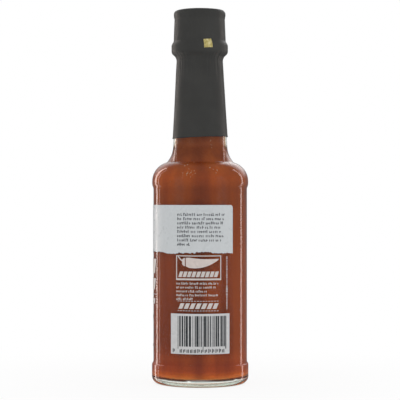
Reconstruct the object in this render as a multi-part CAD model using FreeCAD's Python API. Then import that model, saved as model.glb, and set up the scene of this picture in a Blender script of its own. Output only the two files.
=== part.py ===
import FreeCAD, Part
import math
import os

# A shut glass bottle of hot sauce: a slim "woozy" bottle with a straight label
# panel between two beads, a round shoulder and a long tapering neck. A black
# shrink sleeve covers the neck and the screw cap, a film label wraps the panel.
#
# Millimetres. +Z is up, the origin is on the axis at the resting plane, and the
# front of the bottle faces -Y. Angles are counted about +Z from the front, and
# positive angles turn towards +X.

# ---- bottle glass -----------------------------------------------------------
BODY_RADIUS = 23.35        # outside of the straight label panel
PANEL_HEIGHT = 87.9        # from the middle of the base step to the shoulder step
BASE_STEP_HEIGHT = 10.2    # resting plane to the middle of the base step
BASE_BEAD = 0.75           # how far the base bead stands proud of the panel
SHOULDER_BEAD = 0.65       # how far the shoulder bead stands proud of the panel
BASE_STEP_RISE = 1.0       # height of the slanted face of each step
SHOULDER_STEP_RISE = 1.4
HEEL_RADIUS = 3.6          # rounding between the resting ring and the base bead
PUSH_UP = 1.6              # height of the domed hollow under the base
PUSH_UP_RADIUS = 17.0      # inner edge of the resting ring
DOME_ROUND = 80.0          # rounding of the hollow, as large as it can take
RING_EDGE_ROUND = 1.0      # inner edge of the resting ring
STEP_ROUND = 1.5           # roundings of the base step and the shoulder step
SHOULDER_STEP_ROUND = 3.2
SIDE_WALL = 2.3            # glass in the sides, the shoulder and the flare
BASE_WALL = 3.6            # glass over the resting ring
INNER_HEEL_ROUND = 4.0

SHOULDER_RISE = 12.0       # from the shoulder step to the foot of the neck
SHOULDER_ROUND = 9.75      # radius of the round shoulder
SHOULDER_SLOPE = 18.0      # degrees that the shoulder still falls at the neck
NECK_FOOT_RADIUS = 16.56   # where the shoulder meets the flare of the neck
NECK_FOOT_FILLET = 1.3
FLARE_RISE = 4.06          # height of the flare at the foot of the neck
FLARE_ANGLE = 34.5         # degrees of the flare from upright
FLARE_ROUND = 12.0
NECK_LENGTH = 48.4         # from the top of the flare to the waist
NECK_TOP_RADIUS = 10.98    # outside of the neck at its waist
WAIST_ROUND = 4.4

FINISH_RADIUS = 10.7       # plain wall that the cap goes over
FINISH_WALL = 2.35         # glass between the finish and the bore
BORE_ROUND = 7.0           # where the straight bore of the neck widens at its foot
FINISH_HEIGHT = 14.8       # from the ring to the rim
FINISH_ROUND = 0.5         # edges of the rim and the corner above the ring
RING_PROUD = 2.95          # carrying ring under the cap, proud of the finish
RING_UNDERCUT = 2.05       # from the waist up to the lower corner of the ring
RING_HEIGHT = 4.59
RING_ROUND = 2.2

# ---- sauce ------------------------------------------------------------------
SAUCE_ABOVE_FOOT = 18.0    # level of the sauce above the foot of the neck

# ---- cap --------------------------------------------------------------------
CAP_CLEARANCE = 0.2        # between the finish and the bore of the cap
CAP_WALL = 1.68            # at the lower edge
CAP_TAPER = 0.63           # how much narrower the cap is at its top
CAP_LIFT = 0.9             # gap between the carrying ring and the cap
CAP_TOP_WALL = 1.5
CAP_TOP_ROUND = 0.8
CAP_EDGE_ROUND = 0.4

# ---- shrink sleeve ----------------------------------------------------------
SLEEVE_FILM = 0.4
SLEEVE_START = 12.2        # lower edge above the foot of the neck
SLEEVE_SLANT = 2.2         # degrees that the lower edge rises towards +X
SLEEVE_SPARE = 3.0         # film below the lower edge, trimmed off at the slant
SLEEVE_DROP = 0.7          # where the film leaves the ring, below its top
SLEEVE_CATCH = 0.2         # where the film meets the cap, above its lower edge
SLEEVE_ROUND = 1.5
SLEEVE_LAP = 1.75          # film folded in over the top of the cap
SLEEVE_LIP = 0.32          # how far the folded film bulges at the top
SLEEVE_LIP_START = 4.0     # start of the bulge below the top of the cap
SLEEVE_LIP_RISE = 1.8
SLEEVE_LIP_ROUND = 2.0
SLEEVE_TOP_ROUND = 1.9

# ---- label and seal mark ----------------------------------------------------
LABEL_FILM = 0.12
LABEL_FOOT = 5.3           # lower edge above the base step
LABEL_HEAD = 9.2           # upper edge below the shoulder step
LABEL_EDGE = 42.5          # angle of the right edge of the label
LABEL_WIDTH = 125.0        # length of the label round the bottle
LABEL_CORNER = 1.5

MARK_FILM = 0.12
MARK_ANGLE = 6.5           # angle of the left edge of the square
MARK_SIZE = 4.6            # side of the square
MARK_HEIGHT = 4.3          # height of the square, upright
MARK_RISE = 1.7            # its lower edge above the lower corner of the ring

# ---- fit --------------------------------------------------------------------
CONTACT = 0.05             # between curved faces that touch on the real bottle

# ---- heights and radii that follow from the sizes above ----------------------
SHOULDER_STEP_Z = BASE_STEP_HEIGHT + PANEL_HEIGHT
NECK_FOOT_Z = SHOULDER_STEP_Z + SHOULDER_RISE
FLARE_TOP_Z = NECK_FOOT_Z + FLARE_RISE
WAIST_Z = FLARE_TOP_Z + NECK_LENGTH
RING_LOW_Z = WAIST_Z + RING_UNDERCUT
RING_TOP_Z = RING_LOW_Z + RING_HEIGHT
RIM_Z = RING_TOP_Z + FINISH_HEIGHT
CAP_LOW_Z = RING_TOP_Z + CAP_LIFT
CAP_TOP_Z = RIM_Z + CAP_TOP_WALL
SLEEVE_LOW_Z = NECK_FOOT_Z + SLEEVE_START
FLARE_TOP_RADIUS = NECK_FOOT_RADIUS - FLARE_RISE * math.tan(math.radians(FLARE_ANGLE))
RING_RADIUS = FINISH_RADIUS + RING_PROUD
BORE_RADIUS = FINISH_RADIUS - FINISH_WALL
CAP_BORE_RADIUS = FINISH_RADIUS + CAP_CLEARANCE
CAP_BOTTOM_RADIUS = CAP_BORE_RADIUS + CAP_WALL
CAP_TOP_RADIUS = CAP_BOTTOM_RADIUS - CAP_TAPER

FRONT = -90.0              # direction of the front, about +Z from +X
ORIGIN = FreeCAD.Vector(0, 0, 0)
UP = FreeCAD.Vector(0, 0, 1)


# ---- outlines: a corner is (radius from the axis, height, rounding) ----------
def step(a, b):
    """Length and direction of the side from corner a to corner b."""
    across = b[0] - a[0]
    up = b[1] - a[1]
    length = math.hypot(across, up)
    return length, (across / length, up / length)


def turn(before, after):
    """Angle from one direction to the next, positive to the left."""
    cross = before[0] * after[1] - before[1] * after[0]
    dot = before[0] * after[0] + before[1] * after[1]
    return math.atan2(cross, dot)


def grown(corners, gap):
    """An open outline that runs up the outside of a solid, moved out by gap."""
    sides = [step(a, b)[1] for a, b in zip(corners, corners[1:])]
    moved = []
    for i, (radius, height, rounding) in enumerate(corners):
        before = sides[max(i - 1, 0)]
        after = sides[min(i, len(sides) - 1)]
        angle = turn(before, after)
        across = before[1] + after[1]
        up = -before[0] - after[0]
        reach = gap / (math.cos(angle / 2) * math.hypot(across, up))
        change = math.copysign(gap, angle) if rounding else 0.0
        moved.append((radius + across * reach, height + up * reach, rounding + change))
    return moved


def on_line(a, b, height):
    """The point at this height on the straight line through a and b."""
    share = (height - a[1]) / (b[1] - a[1])
    return (a[0] + share * (b[0] - a[0]), height, 0.0)


def tangent_lengths(corners, lengths, angles):
    """How far each rounding reaches along its sides, limited to fit on them."""
    wanted = [corner[2] * math.tan(abs(angle) / 2) for corner, angle in zip(corners, angles)]
    shares = []
    for i, length in enumerate(lengths):
        both = wanted[i] + wanted[(i + 1) % len(corners)]
        shares.append(min(1.0, 0.98 * length / both) if both else 1.0)
    return [reach * min(shares[i - 1], shares[i]) for i, reach in enumerate(wanted)]


def closed_face(corners):
    """A face bounded by straight sides, with an arc at each rounded corner."""
    steps = [step(a, b) for a, b in zip(corners, corners[1:] + corners[:1])]
    sides = [direction for _, direction in steps]
    angles = [turn(sides[i - 1], side) for i, side in enumerate(sides)]
    reaches = tangent_lengths(corners, [length for length, _ in steps], angles)
    edges = []
    ends = []
    for i, (radius, height, _) in enumerate(corners):
        corner = FreeCAD.Vector(radius, 0, height)
        before = FreeCAD.Vector(sides[i - 1][0], 0, sides[i - 1][1])
        after = FreeCAD.Vector(sides[i][0], 0, sides[i][1])
        start = corner - before * reaches[i]
        end = corner + after * reaches[i]
        ends.append((start, end))
        if reaches[i]:
            half = abs(angles[i]) / 2
            inward = (after - before).normalize()
            middle = corner + inward * reaches[i] * (1 / math.sin(half) - 1 / math.tan(half))
            edges.append(Part.Arc(start, middle, end).toShape())
    for i, (_, end) in enumerate(ends):
        edges.append(Part.LineSegment(end, ends[(i + 1) % len(ends)][0]).toShape())
    return Part.Face(Part.Wire(Part.__sortEdges__(edges)))


def turned(corners, start=0.0, sweep=360.0):
    """The closed outline turned about the axis, from one angle on through sweep."""
    face = closed_face(corners)
    face.rotate(ORIGIN, UP, FRONT + start)
    return face.revolve(ORIGIN, UP, sweep)


def shell(inside, outside, start=0.0, sweep=360.0):
    """The solid between two outlines that run up side by side."""
    return turned(outside + inside[::-1], start, sweep)


# ---- outline of the glass ----------------------------------------------------
def hollow_base(height):
    """The domed middle of the base, from the axis out to the resting ring."""
    return [
        (0.0, height + PUSH_UP, 0.0),
        (PUSH_UP_RADIUS / 2, height + PUSH_UP, DOME_ROUND),
        (PUSH_UP_RADIUS, height, RING_EDGE_ROUND),
    ]


def shoulder_corner(radius, rounding):
    """Where an upright side meets the slope that falls away from the neck."""
    drop = (radius - NECK_FOOT_RADIUS) * math.tan(math.radians(SHOULDER_SLOPE))
    return (radius, NECK_FOOT_Z - drop, rounding)


def neck():
    """The flare at the foot of the neck and the taper up to its waist."""
    return [
        (NECK_FOOT_RADIUS, NECK_FOOT_Z, NECK_FOOT_FILLET),
        (FLARE_TOP_RADIUS, FLARE_TOP_Z, FLARE_ROUND),
        (NECK_TOP_RADIUS, WAIST_Z, WAIST_ROUND),
    ]


def outside_of_glass():
    base = BODY_RADIUS + BASE_BEAD
    bead = BODY_RADIUS + SHOULDER_BEAD
    half_base = BASE_STEP_RISE / 2
    half_shoulder = SHOULDER_STEP_RISE / 2
    return hollow_base(0.0) + [
        (base, 0.0, HEEL_RADIUS),
        (base, BASE_STEP_HEIGHT - half_base, STEP_ROUND),
        (BODY_RADIUS, BASE_STEP_HEIGHT + half_base, STEP_ROUND),
        (BODY_RADIUS, SHOULDER_STEP_Z - half_shoulder, SHOULDER_STEP_ROUND),
        (bead, SHOULDER_STEP_Z + half_shoulder, SHOULDER_STEP_ROUND),
        shoulder_corner(bead, SHOULDER_ROUND),
    ] + neck() + [
        (RING_RADIUS, RING_LOW_Z, RING_ROUND),
        (RING_RADIUS, RING_TOP_Z, RING_ROUND),
        (FINISH_RADIUS, RING_TOP_Z, FINISH_ROUND),
        (FINISH_RADIUS, RIM_Z, FINISH_ROUND),
    ]


def sides_of_cavity():
    """One wall inside the shoulder and the flare, then straight up the bore."""
    panel = (BODY_RADIUS, SHOULDER_STEP_Z, 0.0)
    shoulder = shoulder_corner(BODY_RADIUS, SHOULDER_ROUND - SHOULDER_BEAD)
    inside = grown([panel, shoulder] + neck(), -SIDE_WALL)
    foot, flare = inside[2], inside[3]
    share = (foot[0] - BORE_RADIUS) / (foot[0] - flare[0])
    start = foot[1] + share * (flare[1] - foot[1])
    return [inside[1], foot, (BORE_RADIUS, start, BORE_ROUND), (BORE_RADIUS, RIM_Z, 0.0)]


def floor_of_cavity():
    inside = BODY_RADIUS - SIDE_WALL
    return hollow_base(BASE_WALL) + [(inside, BASE_WALL, INNER_HEEL_ROUND)]


# ---- the pieces ----------------------------------------------------------------
def bottle():
    mouth = (BORE_RADIUS, RIM_Z, FINISH_ROUND)
    cavity = floor_of_cavity() + sides_of_cavity()[:-1] + [mouth]
    return shell(cavity, outside_of_glass())


def sauce():
    """Fills the cavity to a flat level inside the neck."""
    cavity = floor_of_cavity() + sides_of_cavity()
    outline = grown(cavity, -CONTACT)
    level = on_line(outline[-2], outline[-1], NECK_FOOT_Z + SAUCE_ABOVE_FOOT)
    return turned(outline[:-1] + [level, (0.0, level[1], 0.0)])


def cap_side():
    return [
        (CAP_BOTTOM_RADIUS, CAP_LOW_Z, CAP_EDGE_ROUND),
        (CAP_TOP_RADIUS, CAP_TOP_Z, CAP_TOP_ROUND),
    ]


def cap():
    """A plain cup over the finish, seated on the rim."""
    return turned(cap_side() + [
        (0.0, CAP_TOP_Z, 0.0),
        (0.0, RIM_Z, 0.0),
        (CAP_BORE_RADIUS, RIM_Z, 0.0),
        (CAP_BORE_RADIUS, CAP_LOW_Z, 0.0),
    ])


def under_sleeve():
    """What the film lies on: the neck, its ring, the cap's side and its top."""
    flare_top, waist = neck()[1:]
    low, high = cap_side()
    catch = on_line(low, high, CAP_LOW_Z + SLEEVE_CATCH)
    return [
        on_line(flare_top, waist, SLEEVE_LOW_Z - SLEEVE_SPARE),
        waist,
        (RING_RADIUS, RING_LOW_Z, RING_ROUND),
        (RING_RADIUS, RING_TOP_Z - SLEEVE_DROP, RING_ROUND),
        (catch[0], catch[1], SLEEVE_ROUND),
        high,
        (CAP_TOP_RADIUS - SLEEVE_LAP, CAP_TOP_Z, 0.0),
    ]


def outside_of_sleeve():
    """The film's outer side, with the bulge where it folds over the cap."""
    *side, high, lap = grown(under_sleeve(), CONTACT + SLEEVE_FILM)
    start = on_line(side[-1], high, CAP_TOP_Z - SLEEVE_LIP_START)
    lip = start[0] + SLEEVE_LIP
    return side + [
        (start[0], start[1], SLEEVE_LIP_ROUND),
        (lip, start[1] + SLEEVE_LIP_RISE, SLEEVE_LIP_ROUND),
        (lip, lap[1], SLEEVE_TOP_ROUND),
        lap,
    ]


def sleeve():
    film = shell(grown(under_sleeve(), CONTACT), outside_of_sleeve())
    reach = 2 * BODY_RADIUS
    trim = Part.makeBox(2 * reach, 2 * reach, reach, FreeCAD.Vector(-reach, -reach, -reach))
    trim.rotate(ORIGIN, FreeCAD.Vector(0, 1, 0), -SLEEVE_SLANT)
    trim.translate(FreeCAD.Vector(0, 0, SLEEVE_LOW_Z))
    return film.cut(trim)


def label():
    """A thin film round most of the panel, with rounded corners."""
    inside = BODY_RADIUS + CONTACT
    low = BASE_STEP_HEIGHT + LABEL_FOOT
    high = SHOULDER_STEP_Z - LABEL_HEAD
    sweep = math.degrees(LABEL_WIDTH / BODY_RADIUS)
    strip = turned([
        (inside, low, 0.0),
        (inside + LABEL_FILM, low, 0.0),
        (inside + LABEL_FILM, high, 0.0),
        (inside, high, 0.0),
    ], LABEL_EDGE - sweep, sweep)
    corners = [edge for edge in strip.Edges if abs(edge.Length - LABEL_FILM) < LABEL_FILM / 100]
    return strip.makeFillet(LABEL_CORNER, corners)


def seal_mark():
    """A small square of foil on the sleeve, over its ring."""
    under = outside_of_sleeve()
    sweep = math.degrees(MARK_SIZE / (RING_RADIUS + SLEEVE_FILM))
    skin = shell(grown(under, CONTACT)[:-2], grown(under, CONTACT + MARK_FILM)[:-2], MARK_ANGLE, sweep)
    reach = 2 * RING_RADIUS
    corner = FreeCAD.Vector(-reach, -reach, RING_LOW_Z + MARK_RISE)
    return skin.common(Part.makeBox(2 * reach, 2 * reach, MARK_HEIGHT, corner))


PIECES = {
    "bottle": bottle,
    "sauce": sauce,
    "cap": cap,
    "sleeve": sleeve,
    "label": label,
    "seal_mark": seal_mark,
}

os.makedirs("parts", exist_ok=True)
for name, make in PIECES.items():
    make().exportStep(f"parts/{name}.step")
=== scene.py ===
import math
import random

import bmesh
import bpy
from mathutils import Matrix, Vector, noise


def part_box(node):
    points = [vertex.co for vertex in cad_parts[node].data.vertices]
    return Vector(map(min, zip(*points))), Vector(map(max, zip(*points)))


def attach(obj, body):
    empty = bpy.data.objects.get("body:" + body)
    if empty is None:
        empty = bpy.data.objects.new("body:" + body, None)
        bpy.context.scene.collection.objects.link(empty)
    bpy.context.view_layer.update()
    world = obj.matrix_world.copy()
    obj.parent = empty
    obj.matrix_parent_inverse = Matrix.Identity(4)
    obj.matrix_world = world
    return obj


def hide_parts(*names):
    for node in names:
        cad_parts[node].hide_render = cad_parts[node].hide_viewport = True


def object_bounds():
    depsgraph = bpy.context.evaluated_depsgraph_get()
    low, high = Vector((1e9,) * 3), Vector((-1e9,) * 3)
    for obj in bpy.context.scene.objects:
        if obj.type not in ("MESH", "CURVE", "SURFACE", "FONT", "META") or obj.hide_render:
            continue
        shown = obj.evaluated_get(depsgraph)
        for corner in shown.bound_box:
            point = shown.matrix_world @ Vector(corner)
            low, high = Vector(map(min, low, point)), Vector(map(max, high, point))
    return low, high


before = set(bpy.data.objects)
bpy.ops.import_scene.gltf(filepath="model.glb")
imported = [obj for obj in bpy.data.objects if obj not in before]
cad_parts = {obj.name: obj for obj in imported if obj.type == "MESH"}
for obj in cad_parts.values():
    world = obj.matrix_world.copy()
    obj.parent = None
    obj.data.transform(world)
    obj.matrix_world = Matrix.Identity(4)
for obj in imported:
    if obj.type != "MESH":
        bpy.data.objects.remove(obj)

# A shut bottle of hot sauce: clear glass, the sauce inside it, a black shrink
# sleeve over neck and cap, and a clear film label with pale print.
# Metres. +Z is up and the front faces -Y. Sizes marked mm are multiplied by MM.

MM = 0.001

for name in ("Cube", "Light", "Camera"):
    if name in bpy.data.objects:
        bpy.data.objects.remove(bpy.data.objects[name])

cad_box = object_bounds()


# ---- places taken from the CAD parts in model.glb ------------------------------
def box(node):
    low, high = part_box(node)
    return Vector(low), Vector(high)


LABEL_LOW, LABEL_HIGH = box("label")
SLEEVE_LOW, SLEEVE_HIGH = box("sleeve")
SAUCE_LOW, SAUCE_HIGH = box("sauce")
MARK_LOW, MARK_HIGH = box("seal_mark")
LABEL_RADIUS = -LABEL_LOW.y
BOTTLE_HEIGHT = cad_box[1].z


def label_edge():
    """The angle of the label's right edge, from the front towards +X."""
    mesh = bpy.data.objects["label"].data
    angles = [math.atan2(v.co.x, -v.co.y) for v in mesh.vertices if v.co.y < 0 < v.co.x]
    return max(angles)


LABEL_RIGHT = label_edge() * LABEL_RADIUS / MM      # mm round the panel from the front
LABEL_TOP = LABEL_HIGH.z / MM
LABEL_SPAN = 125.0                                  # mm round the panel
LABEL_LEFT = LABEL_RIGHT - LABEL_SPAN
LABEL_CORNER = 1.5


# ---- outlines and turned meshes --------------------------------------------------
def outline(node, wanted):
    """The (radius, height) points of a turned CAD node on the faces that are wanted."""
    mesh = bpy.data.objects[node].data
    found = set()
    for face in mesh.polygons:
        away = Vector((face.center.x, face.center.y, 0)).normalized()
        if wanted(face.normal.dot(away), face.normal.z):
            for index in face.vertices:
                spot = mesh.vertices[index].co
                found.add((round(math.hypot(spot.x, spot.y), 5), round(spot.z, 5)))
    return found


def thinned(points, least):
    """The points in order, without any nearer than least to the one before."""
    kept = [points[0]]
    for point in points[1:]:
        if math.dist(point, kept[-1]) >= least:
            kept.append(point)
    return kept


def spread(points, longest):
    """The same line with points added, so that no step is longer than this."""
    dense = [points[0]]
    for a, b in zip(points, points[1:]):
        count = max(1, math.ceil(math.dist(a, b) / longest))
        for k in range(1, count + 1):
            dense.append((a[0] + (b[0] - a[0]) * k / count, a[1] + (b[1] - a[1]) * k / count))
    return dense


def fattened(points, gap):
    """The line moved by gap to its right, which is outwards on one that runs up."""
    moved = []
    for i, point in enumerate(points):
        a = points[max(i - 1, 0)]
        b = points[min(i + 1, len(points) - 1)]
        length = math.dist(a, b)
        across = (b[1] - a[1]) / length
        up = (a[0] - b[0]) / length
        moved.append((max(point[0] + across * gap, 0.0), point[1] + up * gap))
    return moved


def on_circle(angle, radius, height):
    return Vector((radius * math.sin(angle), -radius * math.cos(angle), height))


def lathe(points, around, shape=None, loop=False):
    """A closed mesh turned from (radius, height) points. A point on the axis is a
    pole, loop joins the last ring to the first, and shape moves each point."""
    bm = bmesh.new()
    rings = []
    for radius, height in points:
        if radius < 1e-6:
            rings.append([bm.verts.new((0, 0, height))])
            continue
        ring = []
        for k in range(around):
            angle = 2 * math.pi * k / around
            spot = shape(angle, radius, height) if shape else (radius, height)
            ring.append(bm.verts.new(on_circle(angle, *spot)))
        rings.append(ring)
    pairs = list(zip(rings, rings[1:]))
    if loop:
        pairs.append((rings[-1], rings[0]))
    for low, high in pairs:
        for k in range(around):
            n = (k + 1) % around
            if len(low) == 1:
                bm.faces.new((low[0], high[n], high[k]))
            elif len(high) == 1:
                bm.faces.new((low[k], low[n], high[0]))
            else:
                bm.faces.new((low[k], low[n], high[n], high[k]))
    bmesh.ops.recalc_face_normals(bm, faces=bm.faces)
    return bm


def piece(name, bm, finish, node=None, smooth=True):
    """Turns a bmesh into a piece of the object, riding on the one body."""
    mesh = bpy.data.meshes.new(name)
    bm.to_mesh(mesh)
    bm.free()
    mesh.polygons.foreach_set("use_smooth", [smooth] * len(mesh.polygons))
    made = bpy.data.objects.new(name, mesh)
    bpy.context.scene.collection.objects.link(made)
    mesh.materials.append(finish)
    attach(made, "root")
    if node:
        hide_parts(node)
    return made


# ---- materials ---------------------------------------------------------------------
class Finish:
    """A material built round one Principled shader, in the object's own coordinates."""

    def __init__(self, name, colour, **values):
        self.material = bpy.data.materials.new(name)
        self.material.use_nodes = True
        self.tree = self.material.node_tree
        self.shader = self.tree.nodes["Principled BSDF"]
        self.place = self.add("ShaderNodeTexCoord").outputs["Object"]
        self.shader.inputs["Base Color"].default_value = (*colour, 1)
        for socket, value in values.items():
            self.shader.inputs[socket.replace("_", " ")].default_value = value

    def add(self, kind, **settings):
        node = self.tree.nodes.new(kind)
        for key, value in settings.items():
            setattr(node, key, value)
        return node

    def link(self, out, into):
        self.tree.links.new(out, into)

    def noise(self, size, detail=3.0, stretch=(1, 1, 1), turn=0.0):
        """Noise with grains about size metres across, longer where stretch is under 1
        and turned about the axis by this many degrees."""
        mapping = self.add("ShaderNodeMapping")
        mapping.inputs["Scale"].default_value = stretch
        mapping.inputs["Rotation"].default_value = (0, 0, math.radians(turn))
        self.link(self.place, mapping.inputs["Vector"])
        node = self.add("ShaderNodeTexNoise")
        node.inputs["Scale"].default_value = 1 / size
        node.inputs["Detail"].default_value = detail
        self.link(mapping.outputs["Vector"], node.inputs["Vector"])
        return node.outputs["Fac"]

    def along(self, axis, low, high):
        """0 where the place on this axis is low and 1 where it is high."""
        parts = self.add("ShaderNodeSeparateXYZ")
        self.link(self.place, parts.inputs["Vector"])
        return self.scaled(parts.outputs[axis], low, high, 0.0, 1.0)

    def height(self, low, high):
        """0 at the height low and 1 at the height high."""
        return self.along("Z", low, high)

    def across(self, low, high):
        """0 at the place low and 1 at the place high, from left to right."""
        return self.along("X", low, high)

    def scaled(self, value, low, high, new_low, new_high):
        node = self.add("ShaderNodeMapRange")
        node.inputs["From Min"].default_value = low
        node.inputs["From Max"].default_value = high
        node.inputs["To Min"].default_value = new_low
        node.inputs["To Max"].default_value = new_high
        self.link(value, node.inputs["Value"])
        return node.outputs["Result"]

    def ramp(self, value, stops):
        """A colour from stops of (place, (red, green, blue))."""
        node = self.add("ShaderNodeValToRGB")
        points = node.color_ramp.elements
        while len(points) < len(stops):
            points.new(0.5)
        for point, (place, colour) in zip(points, stops):
            point.position = place
            point.color = (*colour, 1)
        self.link(value, node.inputs["Fac"])
        return node.outputs["Color"]

    def mixed(self, share, first, second, blend="MIX"):
        """Two colours mixed; share is a socket or a number."""
        node = self.add("ShaderNodeMix", data_type="RGBA", blend_type=blend)
        if isinstance(share, (int, float)):
            node.inputs[0].default_value = share
        else:
            self.link(share, node.inputs[0])
        self.link(first, node.inputs[6])
        self.link(second, node.inputs[7])
        return node.outputs[2]

    def colour(self, socket):
        self.link(socket, self.shader.inputs["Base Color"])

    def rough(self, value, low, high):
        self.link(self.scaled(value, 0.3, 0.7, low, high), self.shader.inputs["Roughness"])

    def bump(self, value, depth, before=None):
        node = self.add("ShaderNodeBump")
        node.inputs["Distance"].default_value = depth
        self.link(value, node.inputs["Height"])
        if before:
            self.link(before, node.inputs["Normal"])
        self.link(node.outputs["Normal"], self.shader.inputs["Normal"])
        return node.outputs["Normal"]


def glass_finish():
    made = Finish("clear_bottle_glass", (0.89, 0.95, 0.90), Transmission_Weight=1.0, IOR=1.5)
    made.colour(made.ramp(made.noise(0.02, 2.0), [
        (0.3, (0.880, 0.945, 0.890)),
        (0.7, (0.900, 0.955, 0.910)),
    ]))
    wavy = made.noise(0.012, 1.5, (1, 1, 0.35))
    fine = made.noise(0.002, 2.0)
    made.bump(fine, 0.000002, made.bump(wavy, 0.00004))
    made.rough(made.noise(0.006), 0.0, 0.02)
    return made.material


def sauce_finish():
    """Cloudy sauce pressed to the glass. Seen along its skin, past the critical angle
    from glass to sauce, the skin turns into a mirror, as at the thick base."""
    made = Finish("pepper_sauce", (0.4, 0.08, 0.018), Specular_IOR_Level=0.1, Roughness=0.15)
    # Random upright mottling of the sauce's own uneven tone, turned 9 degrees so that one dark streak
    # falls near the front centre as painted shade.
    mottling_and_painted_shade = made.ramp(made.noise(0.013, 3.0, (1, 1, 0.10), -9), [
        (0.34, (0.360, 0.073, 0.025)),
        (0.50, (0.480, 0.100, 0.027)),
        (0.66, (0.600, 0.132, 0.030)),
    ])
    pulp = made.ramp(made.noise(0.0009, 3.0), [
        (0.32, (0.95, 0.93, 0.93)),
        (0.50, (1.0, 1.0, 1.0)),
        (0.72, (1.05, 1.07, 1.04)),
    ])
    level = made.height(SAUCE_LOW.z, SAUCE_HIGH.z)
    # Painted light by height: much brighter and paler at the sauce's floor behind the thick base, and
    # brighter up the neck, which the lamps reach less.
    painted_light_by_height = made.ramp(level, [
        (0.000, (3.30, 4.40, 3.30)),
        (0.018, (2.05, 2.05, 1.45)),
        (0.033, (1.40, 1.12, 1.16)),
        (0.057, (1.24, 1.00, 1.12)),
        (0.080, (1.32, 1.17, 1.14)),
        (0.120, (1.06, 0.98, 1.02)),
        (0.600, (0.98, 0.94, 1.00)),
        (0.745, (0.94, 0.96, 1.08)),
        (0.790, (1.14, 1.12, 1.08)),
        (0.880, (0.98, 1.12, 1.30)),
        (0.940, (1.05, 1.25, 1.45)),
    ])
    # Upright bands fixed across the sauce from left to right: painted shade down the front centre and
    # painted light towards the sides.
    painted_shade_bands = made.ramp(made.across(SAUCE_LOW.x, SAUCE_HIGH.x), [
        (0.02, (1.20, 1.16, 1.02)),
        (0.15, (1.15, 1.10, 1.00)),
        (0.27, (0.93, 0.92, 0.95)),
        (0.39, (1.10, 1.12, 1.08)),
        (0.51, (0.85, 0.84, 0.96)),
        (0.64, (1.10, 1.08, 1.06)),
        (0.77, (0.94, 0.92, 0.96)),
        (0.95, (0.92, 0.90, 0.92)),
    ])
    body = made.mixed(1.0, mottling_and_painted_shade, pulp, "MULTIPLY")
    body = made.mixed(1.0, body, painted_light_by_height, "MULTIPLY")
    body = made.mixed(1.0, body, painted_shade_bands, "MULTIPLY")
    skin = made.add("ShaderNodeLayerWeight").outputs["Facing"]
    mirror = made.ramp(skin, [
        (0.56, (0.0, 0.0, 0.0)),
        (0.61, (0.4, 0.4, 0.4)),
        (0.75, (0.6, 0.6, 0.6)),
        (0.86, (1.0, 1.0, 1.0)),
    ])
    at_base = made.ramp(skin, [
        (0.60, (0.95, 0.50, 0.22)),
        (0.75, (0.88, 0.64, 0.40)),
        (0.88, (0.70, 0.78, 0.68)),
    ])
    at_neck = made.ramp(skin, [
        (0.60, (0.90, 0.46, 0.20)),
        (0.75, (0.70, 0.42, 0.22)),
        (0.88, (0.40, 0.27, 0.14)),
    ])
    tinted = made.mixed(made.scaled(level, 0.70, 0.80, 0.0, 1.0), at_base, at_neck)
    made.colour(made.mixed(mirror, body, tinted))
    made.link(mirror, made.shader.inputs["Metallic"])
    made.rough(made.noise(0.0015), 0.08, 0.2)
    made.bump(made.noise(0.0012, 4.0), 0.00001)
    return made.material


def sleeve_finish():
    made = Finish("black_shrink_film", (0.045, 0.045, 0.042), Roughness=0.45, Specular_IOR_Level=0.27)
    made.colour(made.ramp(made.noise(0.014, 4.0), [
        (0.3, (0.043, 0.043, 0.041)),
        (0.7, (0.054, 0.054, 0.051)),
    ]))
    made.rough(made.noise(0.004, 4.0, (1, 1, 0.4)), 0.36, 0.52)
    grain = made.bump(made.noise(0.0005, 3.0), 0.00002)
    made.bump(made.noise(0.0035, 3.0, (1, 1, 0.25)), 0.00008, grain)
    return made.material


def cap_finish():
    made = Finish("black_cap_plastic", (0.028, 0.028, 0.028), Roughness=0.5)
    made.colour(made.ramp(made.noise(0.006, 3.0), [
        (0.3, (0.022, 0.022, 0.023)),
        (0.7, (0.034, 0.034, 0.034)),
    ]))
    made.rough(made.noise(0.002, 4.0), 0.42, 0.6)
    made.bump(made.noise(0.0004, 3.0), 0.00003)
    return made.material


def film_finish():
    """Clear film: it darkens what is behind it a little and has a soft gloss."""
    made = Finish("clear_label_film", (0.9, 0.86, 0.84), Roughness=0.12)
    made.colour(made.ramp(made.noise(0.005, 3.0), [
        (0.3, (0.87, 0.83, 0.81)),
        (0.7, (0.93, 0.89, 0.87)),
    ]))
    made.rough(made.noise(0.003, 3.0), 0.08, 0.2)
    made.bump(made.noise(0.004, 2.0, (1, 1, 0.5)), 0.00003)
    clear = made.add("ShaderNodeBsdfTransparent")
    clear.inputs["Color"].default_value = (0.985, 0.975, 0.97, 1)
    both = made.add("ShaderNodeMixShader")
    both.inputs[0].default_value = 0.005
    made.link(clear.outputs[0], both.inputs[1])
    made.link(made.shader.outputs[0], both.inputs[2])
    output = made.tree.nodes["Material Output"]
    made.link(both.outputs[0], output.inputs["Surface"])
    return made.material


def print_finish(name, colour, spotted=0.06, roughness=0.3):
    """Glossy ink under film, very slightly uneven."""
    made = Finish(name, colour, Roughness=roughness, Coat_Weight=0.15, Coat_Roughness=0.12)
    darker = tuple(c * (1 - spotted) for c in colour)
    lighter = tuple(min(1.0, c * (1 + spotted)) for c in colour)
    made.colour(made.ramp(made.noise(0.0016, 5.0), [(0.3, darker), (0.7, lighter)]))
    made.rough(made.noise(0.004, 3.0), roughness - 0.06, roughness + 0.08)
    made.bump(made.noise(0.0006, 3.0), 0.000012)
    return made.material


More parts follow.
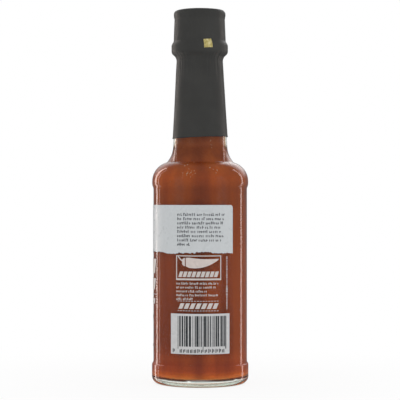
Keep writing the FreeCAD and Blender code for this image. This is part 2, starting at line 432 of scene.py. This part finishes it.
def foil_finish():
    made = Finish("pale_gold_foil", (0.62, 0.56, 0.30), Metallic=0.25, Roughness=0.35)
    made.colour(made.ramp(made.noise(0.0016, 4.0), [
        (0.32, (0.48, 0.39, 0.13)),
        (0.50, (0.70, 0.60, 0.24)),
        (0.66, (0.92, 0.84, 0.50)),
    ]))
    made.rough(made.noise(0.0008, 4.0), 0.25, 0.5)
    made.bump(made.noise(0.0007, 4.0), 0.00006)
    return made.material


def fleck_finish():
    made = Finish("pepper_flecks", (0.3, 0.05, 0.02), Roughness=0.5)
    made.colour(made.ramp(made.noise(0.004, 2.0), [
        (0.38, (0.16, 0.025, 0.012)),
        (0.52, (0.34, 0.09, 0.02)),
        (0.66, (0.50, 0.24, 0.07)),
    ]))
    made.rough(made.noise(0.001), 0.4, 0.6)
    made.bump(made.noise(0.0003), 0.00003)
    return made.material


def bubble_finish():
    made = Finish("small_bubbles", (0.62, 0.27, 0.13), Roughness=0.15, Coat_Weight=0.6)
    made.colour(made.ramp(made.noise(0.0016), [
        (0.35, (0.85, 0.42, 0.22)),
        (0.65, (1.00, 0.82, 0.60)),
    ]))
    made.rough(made.noise(0.0009), 0.1, 0.25)
    made.bump(made.noise(0.0004), 0.00001)
    return made.material


# ---- camera, light and stage ---------------------------------------------------------
CAMERA_DISTANCE = 0.75
CAMERA_HEIGHT = 0.0913
CAMERA_SIDE = -0.0001
LENS = 135.0
SENSOR = 36.0
AMBIENT = 0.62             # the world's light on matt surfaces
GLOSS_AMBIENT = 0.20       # what shiny surfaces mirror between the softboxes
GLOSS_BACKDROP = 2.0       # and what they mirror above and behind the bottle
THROUGH_SIDE = 0.3         # what the glass bends in from beside and above the backdrop
PANEL_POWER = 4.0          # watts of a softbox for each square metre at radiance 1
STRIP_COLOUR = (1.0, 0.86, 0.79)


def place_camera():
    data = bpy.data.cameras.new("camera")
    data.lens = LENS
    data.sensor_width = SENSOR
    data.clip_start = 0.01
    camera = bpy.data.objects.new("camera", data)
    camera.location = (CAMERA_SIDE, -CAMERA_DISTANCE, CAMERA_HEIGHT)
    camera.rotation_euler = (math.pi / 2, 0, 0)
    bpy.context.scene.collection.objects.link(camera)
    bpy.context.scene.camera = camera


def softbox(name, azimuth, height, distance, width, tall, radiance, mirrored=True):
    """A panel of light at this many degrees from the front, turned to the bottle. The
    mirrored strips are a little warm, and only the other two in front shine through glass."""
    data = bpy.data.lights.new(name, "AREA")
    data.shape = "RECTANGLE"
    data.size = width
    data.size_y = tall
    data.energy = PANEL_POWER * width * tall * radiance
    if mirrored:
        data.color = STRIP_COLOUR
    lamp = bpy.data.objects.new(name, data)
    lamp.location = on_circle(math.radians(azimuth), distance, height)
    aim = Vector((0, 0, BOTTLE_HEIGHT / 2)) - lamp.location
    lamp.rotation_euler = aim.to_track_quat("-Z", "Y").to_euler()
    lamp.visible_glossy = mirrored
    lamp.visible_camera = False
    lamp.visible_transmission = not mirrored and azimuth < 90
    bpy.context.scene.collection.objects.link(lamp)


def light_bottle():
    softbox("strip_left", -132, 0.10, 0.60, 0.085, 1.0, 2.7)
    softbox("strip_left_thin", -118, 0.10, 0.60, 0.04, 1.0, 1.5)
    softbox("strip_right", 119, 0.10, 0.60, 0.075, 1.0, 2.1)
    softbox("key_left", -58, 0.30, 0.90, 0.50, 0.80, 1.0, False)
    softbox("key_right", 58, 0.30, 0.90, 0.50, 0.80, 1.25, False)
    softbox("back_soft", 180, 0.45, 0.90, 0.70, 0.50, 1.0, False)


def slope(tree, value, low, high, before=0.0, after=1.0, smooth=False):
    """A share that goes from before to after while the value goes from low to high."""
    node = tree.nodes.new("ShaderNodeMapRange")
    node.interpolation_type = "SMOOTHSTEP" if smooth else "LINEAR"
    node.inputs["From Min"].default_value = low
    node.inputs["From Max"].default_value = high
    node.inputs["To Min"].default_value = before
    node.inputs["To Max"].default_value = after
    tree.links.new(value, node.inputs["Value"])
    return node.outputs["Result"]


def joined(tree, operation, first, second):
    """Two shares put together by a sum, a product or the like."""
    node = tree.nodes.new("ShaderNodeMath")
    node.operation = operation
    tree.links.new(first, node.inputs[0])
    tree.links.new(second, node.inputs[1])
    return node.outputs[0]


def first_hit(tree, path, kind):
    """1 for rays of this kind that left no matt surface on their way."""
    few = tree.nodes.new("ShaderNodeMath")
    few.operation = "LESS_THAN"
    few.inputs[1].default_value = 0.5
    tree.links.new(path.outputs["Diffuse Depth"], few.inputs[0])
    return joined(tree, "MULTIPLY", few.outputs[0], path.outputs[kind])


def direction(tree, spans):
    """A share from the ray's direction: the product of a slope on each axis, given as
    (axis, where it starts, where it ends, share before, share after)."""
    place = tree.nodes.new("ShaderNodeTexCoord")
    parts = tree.nodes.new("ShaderNodeSeparateXYZ")
    tree.links.new(place.outputs["Generated"], parts.inputs["Vector"])
    product = None
    for axis, *span in spans:
        share = slope(tree, parts.outputs[axis], *span)
        product = share if product is None else joined(tree, "MULTIPLY", product, share)
    return product


def behind_bottle(tree):
    """1 for directions up behind the bottle and a little to its right."""
    return direction(tree, (
        ("X", -0.15, 0.12, 0.45, 1.0),
        ("Y", 0.5, 0.8, 0.0, 1.0),
        ("Z", 0.12, 0.35, 0.0, 1.0),
    ))


def straight_on(tree):
    """1 for directions that lead on to the backdrop, 0 for those that turn aside or up."""
    return direction(tree, (
        ("Y", 0.35, 0.85, 0.0, 1.0),
        ("Z", 0.15, 0.35, 1.0, 0.0),
    ))


def chosen(tree, share, no, yes):
    """yes where share is 1, else no; both are numbers or sockets."""
    node = tree.nodes.new("ShaderNodeMapRange")
    tree.links.new(share, node.inputs["Value"])
    for socket, value in (("To Min", no), ("To Max", yes)):
        if isinstance(value, float):
            node.inputs[socket].default_value = value
        else:
            tree.links.new(value, node.inputs[socket])
    return node.outputs["Result"]


def build_world():
    """White behind the bottle, also through glass, and plain soft light on it."""
    world = bpy.data.worlds.new("white_studio")
    bpy.context.scene.world = world
    world.use_nodes = True
    tree = world.node_tree
    path = tree.nodes.new("ShaderNodeLightPath")
    mirrored = chosen(tree, behind_bottle(tree), GLOSS_AMBIENT, GLOSS_BACKDROP)
    strength = chosen(tree, first_hit(tree, path, "Is Glossy Ray"), AMBIENT, mirrored)
    through = chosen(tree, straight_on(tree), THROUGH_SIDE, 1.0)
    strength = chosen(tree, first_hit(tree, path, "Is Transmission Ray"), strength, through)
    strength = chosen(tree, path.outputs["Is Camera Ray"], strength, 1.0)
    background = tree.nodes["Background"]
    background.inputs["Color"].default_value = (1, 1, 1, 1)
    tree.links.new(strength, background.inputs["Strength"])


def from_bottle(tree):
    """How far a place on the floor is from the bottle's axis, in metres."""
    place = tree.nodes.new("ShaderNodeTexCoord")
    length = tree.nodes.new("ShaderNodeVectorMath")
    length.operation = "LENGTH"
    tree.links.new(place.outputs["Object"], length.inputs[0])
    return length.outputs["Value"]


def shadow_reach(tree):
    """How far the floor turns to plain white: least at the bottle, wholly 0.2 m off."""
    return slope(tree, from_bottle(tree), 0.03, 0.2, 0.90, 1.0, smooth=True)


def painted_shadow_under_bottle(tree):
    """The floor's glowing white, with a painted shadow, dark and greenish, where the bottle stands on it.
    """
    node = tree.nodes.new("ShaderNodeValToRGB")
    inner, outer = node.color_ramp.elements
    inner.position = 0.38
    inner.color = (0.48, 0.60, 0.46, 1)
    outer.position = 0.46
    outer.color = (1, 1, 1, 1)
    tree.links.new(slope(tree, from_bottle(tree), 0.0, 0.05), node.inputs["Fac"])
    return node.outputs["Color"]


def build_floor():
    """A pale floor that keeps a soft shadow, has a painted shadow where the bottle stands, and fades into
    the white behind it.
    """
    bm = bmesh.new()
    bmesh.ops.create_circle(bm, cap_ends=True, segments=96, radius=3.0)
    mesh = bpy.data.meshes.new("floor")
    bm.to_mesh(mesh)
    bm.free()
    floor = bpy.data.objects.new("floor", mesh)
    bpy.context.scene.collection.objects.link(floor)
    material = bpy.data.materials.new("white_floor")
    material.use_nodes = True
    tree = material.node_tree
    matt = tree.nodes["Principled BSDF"]
    matt.inputs["Base Color"].default_value = (0.9, 0.9, 0.9, 1)
    matt.inputs["Roughness"].default_value = 0.9
    white = tree.nodes.new("ShaderNodeEmission")
    # the glow's colour carries the painted shadow under the bottle
    tree.links.new(painted_shadow_under_bottle(tree), white.inputs["Color"])
    path = tree.nodes.new("ShaderNodeLightPath")
    plain = chosen(tree, path.outputs["Is Camera Ray"], 0.0, shadow_reach(tree))
    share = joined(tree, "MAXIMUM", plain, first_hit(tree, path, "Is Transmission Ray"))
    mix = tree.nodes.new("ShaderNodeMixShader")
    tree.links.new(share, mix.inputs[0])
    tree.links.new(matt.outputs[0], mix.inputs[1])
    tree.links.new(white.outputs[0], mix.inputs[2])
    tree.links.new(mix.outputs[0], tree.nodes["Material Output"].inputs["Surface"])
    mesh.materials.append(material)
    floor.visible_glossy = False        # so the softboxes mirror down to the base


# ---- glass, cap and label film, which keep their CAD shape ------------------------------
def finish_node(node, finish):
    for slot in bpy.data.objects[node].material_slots:
        slot.material = finish


# ---- sauce -------------------------------------------------------------------------------
INTO_GLASS = 0.2 * MM      # how far the sauce reaches into the wall
FLOOR_REACH = 8 * MM       # the sauce's floor lies wholly in this height
SIDE_RADIUS = 8 * MM       # its sides are all further from the axis than this


def sauce_outline():
    floor = outline("sauce", lambda out, up: up < -0.7)
    floor = sorted(point for point in floor if point[1] < SAUCE_LOW.z + FLOOR_REACH)
    sides = outline("sauce", lambda out, up: out > 0.02 and up > -0.75)
    sides = sorted(sides, key=lambda point: point[1])
    whole = thinned(floor + [p for p in sides if p[1] > floor[-1][1]], 0.1 * MM)
    return fattened(whole, INTO_GLASS)


def build_sauce(finish):
    line = spread(sauce_outline(), 2 * MM)
    top = line[-1][1]
    return piece("sauce_fill", lathe(line + [(0.0, top)], 192), finish, "sauce")


def sauce_radius(line, height):
    """The radius of the sauce's side at this height."""
    for a, b in zip(line, line[1:]):
        if a[1] <= height <= b[1] and b[1] > a[1] and a[0] > SIDE_RADIUS:
            return a[0] + (b[0] - a[0]) * (height - a[1]) / (b[1] - a[1])
    return line[-1][0]


def add_bead(bm, centre, size, squash=1.0, turn=0.0):
    """One small round bead, flattened towards the axis."""
    made = bmesh.ops.create_icosphere(bm, subdivisions=1, radius=size)["verts"]
    angle = math.atan2(centre.x, -centre.y)
    for vert in made:
        x, y, z = vert.co
        x, z = x * math.cos(turn) - z * math.sin(turn), x * math.sin(turn) + z * math.cos(turn)
        y *= squash
        vert.co = centre + Vector((
            x * math.cos(angle) - y * math.sin(angle),
            x * math.sin(angle) + y * math.cos(angle),
            z,
        ))


def build_flecks(finish):
    """Bits of pepper and seed that lie against the glass."""
    rng = random.Random(11)
    line = sauce_outline()
    bm = bmesh.new()
    for _ in range(420):
        height = rng.uniform(SAUCE_LOW.z + 6 * MM, SAUCE_HIGH.z - 8 * MM)
        angle = rng.uniform(-math.pi, math.pi)
        size = rng.choice((0.1, 0.13, 0.18, 0.26)) * MM
        spot = on_circle(angle, sauce_radius(line, height) - 0.3 * size, height)
        add_bead(bm, spot, size, rng.uniform(0.5, 0.9), rng.uniform(0, math.pi))
    return piece("pepper_flecks", bm, finish)


BUBBLE_CLUSTERS = (        # degrees from the front, mm up, spread of each, count
    (-17, 104.6, 5, 1.6, 22),
    (21, 104.6, 5, 1.2, 5),
    (31, 119.0, 3, 1.5, 5),
    (140, 104.0, 9, 2.5, 16),
    (-120, 106.0, 7, 2.0, 12),
)


def build_bubbles(finish):
    """Small bubbles caught under the shoulder and in the neck, in clusters."""
    rng = random.Random(5)
    line = sauce_outline()
    bm = bmesh.new()
    for turn, middle, wide, tall, count in BUBBLE_CLUSTERS:
        for _ in range(count):
            angle = math.radians(rng.gauss(turn, wide))
            height = rng.gauss(middle, tall) * MM
            size = rng.choice((0.12, 0.16, 0.20, 0.30)) * MM
            spot = on_circle(angle, sauce_radius(line, height), height)
            add_bead(bm, spot, size, 0.8)
    return piece("small_bubbles", bm, finish)


# ---- shrink sleeve -------------------------------------------------------------------------
SLEEVE_WALL = 0.3 * MM
SLEEVE_TILT = math.tan(math.radians(2.2))
SLEEVE_EDGE = SLEEVE_LOW.z + 0.53 * MM      # the slanted lower edge, on the axis
SLEEVE_FIRM = SLEEVE_EDGE + 3 * MM          # above here the CAD line is used as it is
SLEEVE_RING = SLEEVE_HIGH.z - 21.5 * MM     # foot of the ring that shows under the film
SLEEVE_LEAN = 0.25 * MM


def smooth_step(value, low, high):
    t = min(max((value - low) / (high - low), 0.0), 1.0)
    return t * t * (3 - 2 * t)


def sleeve_side():
    """The sleeve's outer line, from its lower edge up and in over the cap."""
    out = outline("sleeve", lambda out, up: out > 0.03 or up > 0.9)
    side = [p for p in out if SLEEVE_FIRM < p[1] < SLEEVE_HIGH.z - 0.02 * MM]
    lap = sorted((p for p in out if p[1] >= SLEEVE_HIGH.z - 0.02 * MM), reverse=True)
    side = sorted(side, key=lambda point: point[1])
    slope = (side[8][0] - side[0][0]) / (side[8][1] - side[0][1])
    start = (side[0][0] + slope * (SLEEVE_EDGE - side[0][1]), SLEEVE_EDGE)
    return thinned([start] + side + lap, 0.12 * MM)


def film_waves(angle, height):
    """How far the shrunk film stands off, in metres, at this place."""
    x, y = math.cos(angle), math.sin(angle)
    slow = noise.noise(Vector((1.6 * x, 1.6 * y, height * 55)))
    pleat = noise.noise(Vector((11 * x, 11 * y, height * 45)))
    fine = noise.noise(Vector((24 * x, 24 * y, height * 90 + 7)))
    crease = noise.noise(Vector((5 * x, 5 * y, height * 150 + 3)))
    near_ring = smooth_step(height, SLEEVE_RING - 18 * MM, SLEEVE_RING - 6 * MM)
    near_ring *= 1 - smooth_step(height, SLEEVE_RING, SLEEVE_RING + 1.5 * MM)
    on_cap = smooth_step(height, SLEEVE_RING + 5 * MM, SLEEVE_RING + 8 * MM)
    pleated = near_ring * (0.15 * pleat + 0.07 * fine)
    creased = on_cap * (0.05 * pleat + 0.05 * crease)
    return MM * (0.05 * slow + pleated + creased)


def film_lean(angle, height):
    """The film over ring and cap sits a little further out on the left."""
    reached = smooth_step(height, SLEEVE_LOW.z, SLEEVE_RING + 1.5 * MM)
    return -SLEEVE_LEAN * math.sin(angle) * reached


def sleeve_shape(angle, radius, height):
    """Moves a point of the plain sleeve to where the shrunk film has it."""
    low = SLEEVE_EDGE
    fixed = low + 9 * MM
    edge = low + SLEEVE_TILT * radius * math.sin(angle)
    edge += 0.12 * MM * noise.noise(Vector((2.2 * math.cos(angle), 2.2 * math.sin(angle), 0)))
    moved = height
    if height < fixed:
        moved = edge + (height - low) * (fixed - edge) / (fixed - low)
    flare = 0.12 * MM * (1 - smooth_step(moved, edge, edge + 1.2 * MM))
    lap = smooth_step(height, SLEEVE_HIGH.z - 0.5 * MM, SLEEVE_HIGH.z - 0.1 * MM)
    inner = lap * (1 - smooth_step(radius, 10.2 * MM, 11.8 * MM))
    ragged = inner * 0.35 * MM * noise.noise(Vector((3 * math.cos(angle), 3 * math.sin(angle), 9)))
    off = (film_waves(angle, height) + film_lean(angle, height)) * (1 - lap)
    return radius + off + flare + ragged, moved


def build_sleeve(finish):
    outer = spread(sleeve_side(), 0.5 * MM)
    inner = fattened(outer, -SLEEVE_WALL)
    bm = lathe(outer + inner[::-1], 288, sleeve_shape, loop=True)
    return piece("shrink_sleeve", bm, finish, "sleeve")


def sleeve_radius(side, height):
    """The radius of the plain sleeve at this height."""
    for a, b in zip(side, side[1:]):
        if a[1] <= height <= b[1]:
            return a[0] + (b[0] - a[0]) * (height - a[1]) / (b[1] - a[1])
    return side[-1][0]


MARK_STEPS = 12
MARK_SKEW = math.radians(4)
MARK_ROUND = 14 * MM       # radius of the film under the square


def mark_point(across, up, lift, side):
    """A point of the foil, this far from the square's middle and off the film."""
    middle = (MARK_LOW + MARK_HIGH) / 2
    turned = across * math.cos(MARK_SKEW) - up * math.sin(MARK_SKEW)
    height = middle.z + across * math.sin(MARK_SKEW) + up * math.cos(MARK_SKEW)
    angle = math.atan2(middle.x, -middle.y) + turned / MARK_ROUND
    radius = sleeve_radius(side, height) + film_waves(angle, height) + film_lean(angle, height)
    return on_circle(angle, radius + lift, height)


def build_seal_mark(finish):
    """The small foil square, set a little askew on the film."""
    side = [p for p in sleeve_side() if p[1] < SLEEVE_HIGH.z - 2 * MM]
    half = (MARK_HIGH.z - MARK_LOW.z) / 2
    places = [half * (2 * i / MARK_STEPS - 1) for i in range(MARK_STEPS + 1)]
    bm = bmesh.new()
    layers = []
    for lift in (0.04 * MM, 0.14 * MM):
        layers.append([[bm.verts.new(mark_point(u, v, lift, side)) for v in places] for u in places])
    under, over = layers
    last = MARK_STEPS
    for i in range(last):
        for j in range(last):
            bm.faces.new((over[i][j], over[i + 1][j], over[i + 1][j + 1], over[i][j + 1]))
            bm.faces.new((under[i][j], under[i][j + 1], under[i + 1][j + 1], under[i + 1][j]))
    for k in range(last):
        bm.faces.new((under[k][0], under[k + 1][0], over[k + 1][0], over[k][0]))
        bm.faces.new((under[k][last], over[k][last], over[k + 1][last], under[k + 1][last]))
        bm.faces.new((under[0][k], over[0][k], over[0][k + 1], under[0][k + 1]))
        bm.faces.new((under[last][k], under[last][k + 1], over[last][k + 1], over[last][k]))
    return piece("foil_square", bm, finish, "seal_mark")


# ---- print on the label: flat shapes in mm, wrapped round the panel --------------------------
INK = 0.04                 # mm of each layer of ink
SUNK = 0.01                # mm that the ink reaches into what is under it


class Print:
    """Shapes of one ink. Across is mm round the panel from the front, up is height."""

    def __init__(self, name, layer, finish):
        self.name = name
        self.finish = finish
        self.under = LABEL_RADIUS - SUNK * MM + layer * INK * MM
        self.over = self.under + (INK + SUNK) * MM
        self.bm = bmesh.new()

    def column(self, across, low, high):
        angle = across * MM / LABEL_RADIUS
        return [
            self.bm.verts.new(on_circle(angle, self.under, low * MM)),
            self.bm.verts.new(on_circle(angle, self.over, low * MM)),
            self.bm.verts.new(on_circle(angle, self.over, high * MM)),
            self.bm.verts.new(on_circle(angle, self.under, high * MM)),
        ]

    def band(self, left, right, low, high, pitch=0.9):
        """The closed slab between two edges, each a height or a function of across."""
        count = max(1, math.ceil((right - left) / pitch))
        columns = []
        for k in range(count + 1):
            across = left + (right - left) * k / count
            bottom = low(across) if callable(low) else low
            top = high(across) if callable(high) else high
            columns.append(self.column(across, bottom, top))
        for a, b in zip(columns, columns[1:]):
            for i in range(4):
                n = (i + 1) % 4
                self.bm.faces.new((a[i], a[n], b[n], b[i]))
        self.bm.faces.new(columns[0][::-1])
        self.bm.faces.new(columns[-1])

    def frame(self, left, right, low, high, thick, base):
        """A hollow rectangle with a heavier lower side."""
        self.band(left, right, low, low + base)
        self.band(left, right, high - thick, high)
        self.band(left, left + thick, low + base, high - thick)
        self.band(right - thick, right, low + base, high - thick)

    def words(self, left, right, low, tall, rng, stroke=0.34):
        """A line of small upright ticks in word-long groups, in place of writing."""
        across = left
        while across < right - stroke:
            for _ in range(rng.randint(2, 8)):
                if across > right - stroke:
                    break
                height = tall * rng.choice((0.68, 0.68, 0.74, 1.0))
                self.band(across, across + stroke, low, low + height)
                if rng.random() < 0.55:
                    level = low + height * rng.choice((0.0, 0.38, 0.72))
                    self.band(across + stroke, across + stroke * 1.9, level, level + 0.26 * tall)
                across += stroke * rng.uniform(2.1, 2.5)
            across += stroke * 1.6

    def dashes(self, left, right, low, tall, length, gap):
        across = left
        while across + length <= right + 0.01:
            self.band(across, across + length, low, low + tall)
            across += length + gap

    def slants(self, left, right, low, tall, count, gap, lean):
        """A row of bold blocks that all lean over to the right."""
        wide = (right - left - lean - gap * (count - 1)) / count
        for k in range(count):
            a = left + k * (wide + gap)

            def under(across, end=a + wide):
                return low + tall * min(max((across - end) / lean, 0.0), 0.97)

            def over(across, start=a):
                return low + tall * min(max((across - start) / lean, 0.03), 1.0)
            self.band(a, a + wide + lean, under, over, 0.15)

    def chilli(self, left, low, length, thick):
        """A long pepper lying on its side, its tip bent up at the right."""
        body = left + 0.20 * length
        reach = 0.80 * length

        def middle(across):
            t = (across - body) / reach
            return low + thick * (0.62 - 0.72 * t + 0.98 * t * t)

        def half(across):
            t = min(max((across - body) / reach, 0.0), 1.0)
            return thick * (0.04 + 0.44 * min(1.0, 0.8 + 2.0 * t) * (1 - t ** 2.4))

        def cap(across):
            t = min(max((body - across) / (0.09 * length), 0.0), 1.0)
            return thick * 0.40 * math.sqrt(1 - 0.72 * t * t)

        def stalk(across):
            t = (body - across) / (0.2 * length)
            return middle(body) + thick * 0.55 * t * t
        self.band(body, left + length, lambda s: middle(s) - half(s), lambda s: middle(s) + half(s), 0.3)
        self.band(body - 0.09 * length, body - 0.022 * length,
                  lambda s: middle(body) - cap(s), lambda s: middle(body) + cap(s), 0.15)
        width = 0.075 * thick
        self.band(left, body - 0.08 * length, lambda s: stalk(s) - width, lambda s: stalk(s) + width, 0.3)

    def finished(self):
        bmesh.ops.recalc_face_normals(self.bm, faces=self.bm.faces)
        return piece(self.name, self.bm, self.finish, smooth=False)


TORN_HEIGHT = 65.6
EDGE_GAP = 0.02            # mm between the grey field and the label's upper edge


def torn(across):
    """The ragged lower edge of the grey field, as a height in mm."""
    slow = 0.35 * math.sin(0.21 * across + 1.3) + 0.22 * math.sin(0.53 * across + 0.4)
    rough = 0.55 * noise.noise(Vector((across * 0.9, 3.1, 0)))
    fine = 0.4 * noise.noise(Vector((across * 3.3, 8.2, 0)))
    return TORN_HEIGHT + slow + rough + fine


def rounded_top(across):
    """The label's upper edge, falling away at its rounded corners."""
    top = LABEL_TOP - EDGE_GAP
    inset = min(LABEL_RIGHT - across, across - LABEL_LEFT)
    if inset >= LABEL_CORNER:
        return top
    short = LABEL_CORNER - max(inset, 0.0)
    return top - LABEL_CORNER + math.sqrt(max(LABEL_CORNER ** 2 - short ** 2, 0.0))


TEXT_LEFT = -11.6          # where the rows of small dashes start
GREY_ROWS = (12.6, 12.1, 11.4, 10.4, 10.4, 12.1, 10.9, -4.6)     # where each row ends
WHITE_ROWS = (9.6, 8.1, 4.1, 9.6, -3.3)


def build_small_text(finish):
    rng = random.Random(3)
    ink = Print("small_grey_lines", 1, finish)
    for row, right in enumerate(GREY_ROWS):
        ink.words(TEXT_LEFT, right, 83.6 - 2.07 * row, 1.4, rng, 0.38)
    return ink.finished()


def build_grey_field(finish):
    ink = Print("grey_field", 0, finish)
    ink.band(LABEL_LEFT + 0.03, LABEL_RIGHT - 0.03, torn, rounded_top, 0.3)
    return ink.finished()


def build_white_print(finish):
    rng = random.Random(8)
    ink = Print("white_print", 0, finish)
    ink.frame(-12.2, 10.5, 52.4, 64.4, 0.45, 0.85)
    ink.chilli(-11.2, 58.0, 20.4, 5.2)
    ink.slants(-11.0, 9.3, 53.9, 2.7, 9, 0.5, 0.9)
    for row, right in enumerate(WHITE_ROWS):
        ink.words(-12.1, right, 50.3 - 1.9 * row, 1.15, rng, 0.32)
    ink.dashes(-11.4, 9.6, 42.1, 0.28, 0.9, 0.5)
    ink.slants(-11.0, 9.2, 38.5, 2.7, 7, 0.8, 1.2)
    ink.dashes(-11.4, 9.6, 37.4, 0.28, 0.9, 0.5)
    upright_line(ink, rng)
    front_panel(ink, rng)
    return ink.finished()


def upright_line(ink, rng):
    """The broken line that runs up beside the framed print."""
    middle = 13.75
    for step in range(34):
        low = 38.2 + 0.76 * step
        half = 0.5 if 45.0 < low < 48.5 else 0.31
        ink.band(middle - half, middle + half, low, low + rng.choice((0.3, 0.42, 0.5)))


def front_panel(ink, rng):
    """The side that faces left and back: bold rows, a large pepper and fine lines."""
    left, right = LABEL_LEFT + 12, -27.5
    ink.slants(left, right, 55.0, 7.2, 7, 1.6, 2.2)
    ink.slants(left + 5, right - 0.6, 47.0, 5.6, 8, 1.4, 1.8)
    ink.slants(left + 8, right - 1.5, 39.9, 2.8, 12, 1.0, 0.9)
    ink.chilli(left + 12, 22.5, 46.0, 12.5)
    ink.words(left + 14, right - 4, 18.4, 1.5, rng, 0.45)
    ink.dashes(left, right, 44.6, 0.3, 1.2, 0.7)


CODE_MODULE = 0.262        # mm of the thinnest bar
CODE_LEFT = -11.3
CODE_RIGHT = 13.7
CODE_PANEL = (-15.3, 15.3, 16.5, 36.1)


def build_code_panel(finish):
    panel = Print("code_panel", 0, finish)
    panel.band(*CODE_PANEL)
    return panel.finished()


def build_code_bars(finish):
    """Made-up upright bars with a row of ticks under them."""
    rng = random.Random(21)
    bars = Print("code_bars", 1, finish)
    centre = (CODE_LEFT + CODE_RIGHT) / 2
    across = CODE_LEFT
    while across < CODE_RIGHT - 2 * CODE_MODULE:
        wide = rng.choice((1, 1, 1, 2, 2, 3, 4)) * CODE_MODULE
        at_end = across == CODE_LEFT or across > CODE_RIGHT - 5 * CODE_MODULE
        guard = at_end or abs(across - centre) < 1.5 * CODE_MODULE
        bars.band(across, across + min(wide, CODE_RIGHT - across), 19.0 if guard else 20.2, 35.0)
        across += wide + rng.choice((1, 1, 2, 2, 3)) * CODE_MODULE
    low = 17.2
    for spot in [-13.6] + [CODE_LEFT + 1.6 + 1.78 * k for k in range(13)]:
        bars.band(spot - 0.55, spot - 0.13, low, low + rng.choice((1.5, 1.9)))
        bars.band(spot + 0.13, spot + 0.55, low + rng.choice((0.0, 0.5)), 18.9)
    return bars.finished()


# ---- put together -------------------------------------------------------------------------------
place_camera()
bpy.context.scene.view_settings.view_transform = "Standard"
build_world()
build_floor()
light_bottle()

finish_node("bottle", glass_finish())
finish_node("cap", cap_finish())
finish_node("label", film_finish())
build_sauce(sauce_finish())
build_flecks(fleck_finish())
build_bubbles(bubble_finish())
build_sleeve(sleeve_finish())
build_seal_mark(foil_finish())

build_grey_field(print_finish("grey_ink", (0.635, 0.665, 0.68), 0.03))
build_small_text(print_finish("dark_grey_ink", (0.075, 0.08, 0.095)))
build_white_print(print_finish("white_ink", (0.70, 0.62, 0.58)))
build_code_panel(print_finish("pale_panel_ink", (0.655, 0.66, 0.665)))
build_code_bars(print_finish("black_ink", (0.035, 0.04, 0.045)))
